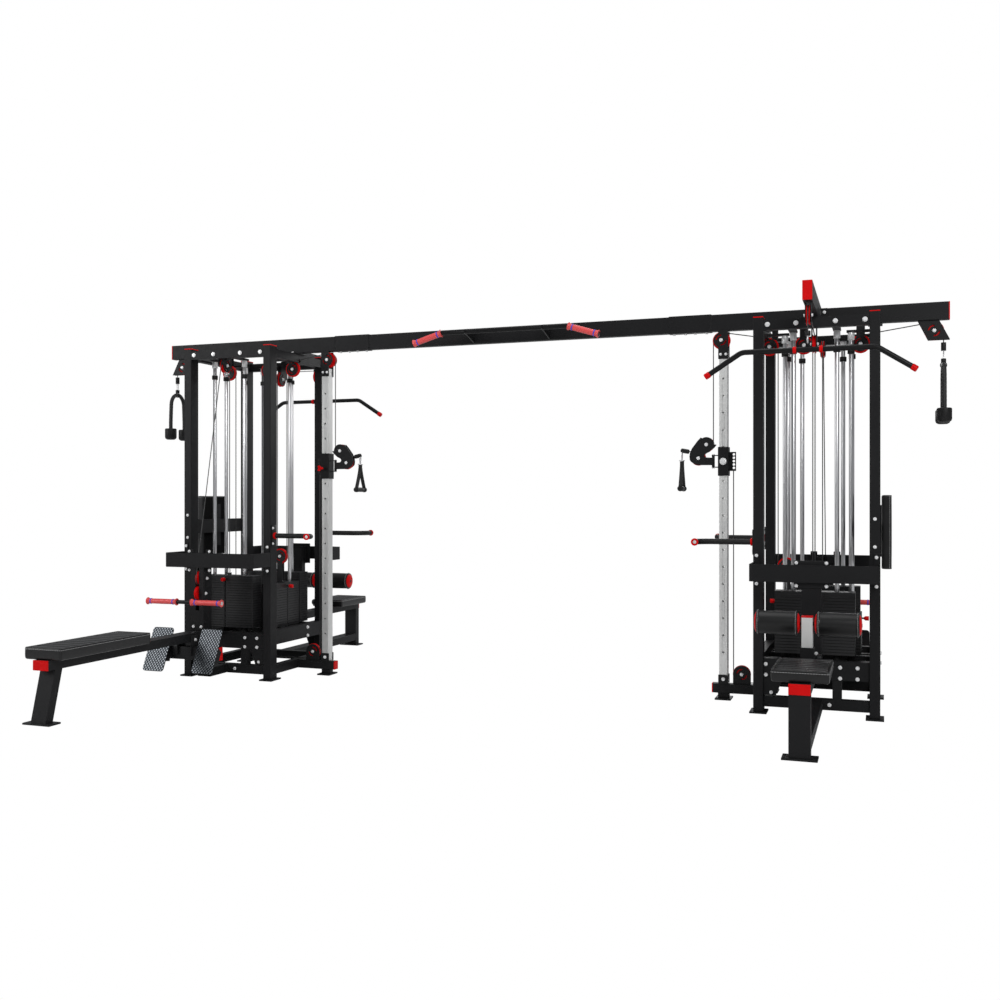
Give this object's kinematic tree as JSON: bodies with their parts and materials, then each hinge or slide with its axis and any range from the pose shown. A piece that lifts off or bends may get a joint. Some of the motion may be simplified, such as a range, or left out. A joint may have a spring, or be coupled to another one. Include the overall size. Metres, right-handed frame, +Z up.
{
  "type": "functional trainer",
  "caption": "Twin-tower functional trainer: selectorised weight stacks, sliding cable columns, lat and row stations, pull-down ropes and an overhead beam with a chin-up bar",
  "frame": {"origin": "on the floor, under the middle of the overhead beam", "axes": "X along the beam, Y from front to back, Z up"},
  "size_m": [5.29, 4.082, 2.346],
  "materials": {
    "frame_coat": "satin charcoal powder coat",
    "column_silver": "brushed silver",
    "chrome": "polished",
    "bolt_steel": "bright zinc",
    "stack_steel": "satin black",
    "red_plastic": "moulded gloss",
    "red_grip": "soft ribbed grip",
    "pulley_red": "moulded nylon",
    "rubber": "matte",
    "vinyl": "fine-grained upholstery vinyl",
    "tread_plate": "diamond tread",
    "cable": "nylon-coated wire rope",
    "bar_black": "satin black",
    "rope_black": "twisted rope",
    "foam": "skinned foam"
  },
  "bodies": {
    "frame": {"main_beam": "frame_coat", "lat_arms": "frame_coat", "uprights": "frame_coat", "top_rails": "frame_coat", "base_rails": "frame_coat", "floor_feet": "frame_coat", "stack_guards": "frame_coat", "station_columns": "frame_coat", "pulley_brackets": "frame_coat", "seat_frames": "frame_coat", "station_struts": "frame_coat", "end_caps": "red_plastic", "pulley_columns": "column_silver", "rod_collars": "chrome", "guide_rods": "chrome", "rubber_stops": "rubber", "weight_plates": "stack_steel", "seat_pads": "vinyl", "bench_pads": "vinyl", "back_pads": "vinyl", "footrests": "tread_plate", "support_handles": "red_grip", "chin_bar": "frame_coat", "chin_grips": "red_grip", "frame_bolts": "bolt_steel", "idler_pulleys": "pulley_red", "column_cables": "cable", "press_cables": "cable", "lat_cables": "cable", "row_cables": "cable"},
    "cable_head_a": {"cable_head_a": "stack_steel"},
    "press_head_a": {"press_head_a": "stack_steel"},
    "lat_head_a": {"lat_head_a": "stack_steel"},
    "row_head_a": {"row_head_a": "stack_steel"},
    "trolley_a": {"trolley_a": "frame_coat"},
    "swivel_arm_a": {"swivel_arm_a": "frame_coat"},
    "pop_pin_a": {"pop_pin_a": "red_plastic"},
    "stirrup_handle_a": {"stirrup_handle_a": "red_grip"},
    "lat_bar_a": {"lat_bar_a": "bar_black"},
    "row_bar_a": {"row_bar_a": "bar_black"},
    "roller_post_a": {"roller_post_a": "column_silver"},
    "foam_rollers_a": {"foam_rollers_a": "foam"},
    "column_top_pulley_a": {"column_top_pulley_a": "pulley_red"},
    "pull_rope_a": {"rope_link_a": "chrome", "rope_a": "rope_black"},
    "cable_head_b": {"cable_head_b": "stack_steel"},
    "press_head_b": {"press_head_b": "stack_steel"},
    "lat_head_b": {"lat_head_b": "stack_steel"},
    "row_head_b": {"row_head_b": "stack_steel"},
    "trolley_b": {"trolley_b": "frame_coat"},
    "swivel_arm_b": {"swivel_arm_b": "frame_coat"},
    "pop_pin_b": {"pop_pin_b": "red_plastic"},
    "stirrup_handle_b": {"stirrup_handle_b": "red_grip"},
    "lat_bar_b": {"lat_bar_b": "bar_black"},
    "row_bar_b": {"row_bar_b": "bar_black"},
    "roller_post_b": {"roller_post_b": "column_silver"},
    "foam_rollers_b": {"foam_rollers_b": "foam"},
    "column_top_pulley_b": {"column_top_pulley_b": "pulley_red"},
    "pull_rope_b": {"rope_link_b": "chrome", "rope_b": "rope_black"}
  },
  "joints": [
    {"name": "handle_pull_a", "type": "slide", "parent": "swivel_arm_a", "child": "stirrup_handle_a", "axis": [1, 0, 0], "range_m": [0, 0.96], "deforming": ["column_cables"]},
    {"name": "cable_lift_a", "type": "slide", "parent": "frame", "child": "cable_head_a", "axis": [0, 0, 1], "range_m": [0, 0.48], "deforming": ["column_cables"]},
    {"name": "rope_pull_a", "type": "slide", "parent": "frame", "child": "pull_rope_a", "axis": [0, 0, -1], "range_m": [0, 0.9], "deforming": ["press_cables"]},
    {"name": "press_lift_a", "type": "slide", "parent": "frame", "child": "press_head_a", "axis": [0, 0, 1], "range_m": [0, 0.9], "deforming": ["press_cables"]},
    {"name": "lat_pull_a", "type": "slide", "parent": "frame", "child": "lat_bar_a", "axis": [0, 0, -1], "range_m": [0, 1], "deforming": ["lat_cables"]},
    {"name": "lat_lift_a", "type": "slide", "parent": "frame", "child": "lat_head_a", "axis": [0, 0, 1], "range_m": [0, 1], "deforming": ["lat_cables"]},
    {"name": "row_pull_a", "type": "slide", "parent": "frame", "child": "row_bar_a", "axis": [0, -1, 0], "range_m": [0, 0.7], "deforming": ["row_cables"]},
    {"name": "row_lift_a", "type": "slide", "parent": "frame", "child": "row_head_a", "axis": [0, 0, 1], "range_m": [0, 0.7], "deforming": ["row_cables"]},
    {"name": "trolley_slide_a", "type": "slide", "parent": "frame", "child": "trolley_a", "axis": [0, 0, 1], "range_m": [-0.832, 0.416], "deforming": ["column_cables"]},
    {"name": "arm_swivel_a", "type": "hinge", "parent": "trolley_a", "child": "swivel_arm_a", "pos_m": [-1.3, 0, 1.449], "axis": [0, 0, 1], "range_deg": [-60, 60]},
    {"name": "pop_pin_pull_a", "type": "slide", "parent": "trolley_a", "child": "pop_pin_a", "axis": [0, -1, 0], "range_m": [0, 0.012], "stiffness_N_per_m": 300},
    {"name": "roller_height_a", "type": "slide", "parent": "frame", "child": "roller_post_a", "axis": [0, 0, 1], "range_m": [0, 0.1]},
    {"name": "roller_spin_a", "type": "hinge", "parent": "roller_post_a", "child": "foam_rollers_a", "pos_m": [-1.919, 0.897, 0.577], "axis": [1, 0, 0], "continuous": true},
    {"name": "top_pulley_spin_a", "type": "hinge", "parent": "frame", "child": "column_top_pulley_a", "pos_m": [-1.3505, 0, 2.185], "axis": [0, 1, 0], "continuous": true},
    {"name": "handle_pull_b", "type": "slide", "parent": "swivel_arm_b", "child": "stirrup_handle_b", "axis": [-1, 0, 0], "range_m": [0, 0.96], "deforming": ["column_cables"]},
    {"name": "cable_lift_b", "type": "slide", "parent": "frame", "child": "cable_head_b", "axis": [0, 0, 1], "range_m": [0, 0.48], "deforming": ["column_cables"]},
    {"name": "rope_pull_b", "type": "slide", "parent": "frame", "child": "pull_rope_b", "axis": [0, 0, -1], "range_m": [0, 0.9], "deforming": ["press_cables"]},
    {"name": "press_lift_b", "type": "slide", "parent": "frame", "child": "press_head_b", "axis": [0, 0, 1], "range_m": [0, 0.9], "deforming": ["press_cables"]},
    {"name": "lat_pull_b", "type": "slide", "parent": "frame", "child": "lat_bar_b", "axis": [0, 0, -1], "range_m": [0, 1], "deforming": ["lat_cables"]},
    {"name": "lat_lift_b", "type": "slide", "parent": "frame", "child": "lat_head_b", "axis": [0, 0, 1], "range_m": [0, 1], "deforming": ["lat_cables"]},
    {"name": "row_pull_b", "type": "slide", "parent": "frame", "child": "row_bar_b", "axis": [0, 1, 0], "range_m": [0, 0.7], "deforming": ["row_cables"]},
    {"name": "row_lift_b", "type": "slide", "parent": "frame", "child": "row_head_b", "axis": [0, 0, 1], "range_m": [0, 0.7], "deforming": ["row_cables"]},
    {"name": "trolley_slide_b", "type": "slide", "parent": "frame", "child": "trolley_b", "axis": [0, 0, 1], "range_m": [-0.832, 0.416], "deforming": ["column_cables"]},
    {"name": "arm_swivel_b", "type": "hinge", "parent": "trolley_b", "child": "swivel_arm_b", "pos_m": [1.3, 0, 1.449], "axis": [0, 0, 1], "range_deg": [-60, 60]},
    {"name": "pop_pin_pull_b", "type": "slide", "parent": "trolley_b", "child": "pop_pin_b", "axis": [0, 1, 0], "range_m": [0, 0.012], "stiffness_N_per_m": 300},
    {"name": "roller_height_b", "type": "slide", "parent": "frame", "child": "roller_post_b", "axis": [0, 0, 1], "range_m": [0, 0.1]},
    {"name": "roller_spin_b", "type": "hinge", "parent": "roller_post_b", "child": "foam_rollers_b", "pos_m": [1.911, -0.897, 0.577], "axis": [1, 0, 0], "continuous": true},
    {"name": "top_pulley_spin_b", "type": "hinge", "parent": "frame", "child": "column_top_pulley_b", "pos_m": [1.3505, 0, 2.185], "axis": [0, 1, 0], "continuous": true}
  ],
  "couplings": [
    {"joint": "cable_lift_a", "follows": "handle_pull_a", "ratio": 0.5},
    {"joint": "press_lift_a", "follows": "rope_pull_a", "ratio": 1},
    {"joint": "lat_lift_a", "follows": "lat_pull_a", "ratio": 1},
    {"joint": "row_lift_a", "follows": "row_pull_a", "ratio": 1},
    {"joint": "cable_lift_b", "follows": "handle_pull_b", "ratio": 0.5},
    {"joint": "press_lift_b", "follows": "rope_pull_b", "ratio": 1},
    {"joint": "lat_lift_b", "follows": "lat_pull_b", "ratio": 1},
    {"joint": "row_lift_b", "follows": "row_pull_b", "ratio": 1}
  ]
}
